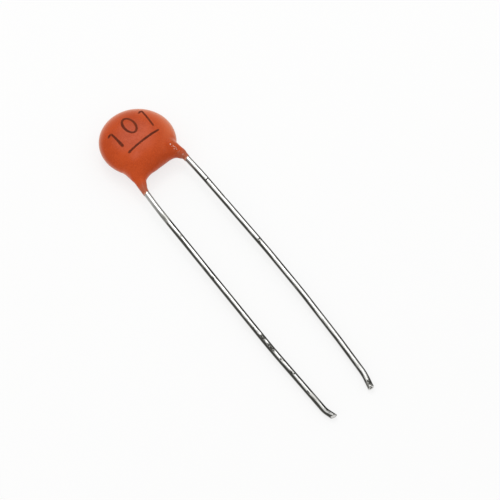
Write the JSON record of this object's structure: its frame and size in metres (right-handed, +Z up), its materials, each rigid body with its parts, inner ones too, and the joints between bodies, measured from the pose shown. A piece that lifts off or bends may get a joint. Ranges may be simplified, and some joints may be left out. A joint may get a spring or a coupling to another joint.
{
  "type": "ceramic disc capacitor",
  "caption": "Small ceramic disc capacitor: a round orange dipped body on long tinned wire leads, lying on its back with a value code on its face.",
  "frame": {"origin": "middle of the part's footprint, on the surface that it lies on", "axes": "+Z up, out of the marked face; -Y along the leads towards their tips; +X across the leads, in the reading direction of the mark"},
  "size_m": [0.0068, 0.0358, 0.0026],
  "materials": {
    "coating": "orange-red dipped phenolic resin, satin, slightly uneven",
    "ceramic": "fired barium titanate, matt",
    "electrode": "fired silver, matt",
    "solder": "tin solder, dull",
    "lead_wire": "tinned copper-clad steel wire, bright with scuffs",
    "ink": "dark brown stamping ink, matt, uneven"
  },
  "bodies": {
    "root": {"coating": "coating", "ceramic_disc": "ceramic", "front_electrode": "electrode", "rear_electrode": "electrode", "front_solder": "solder", "rear_solder": "solder", "front_lead": "lead_wire", "rear_lead": "lead_wire", "printed_mark": "ink"}
  },
  "joints": []
}
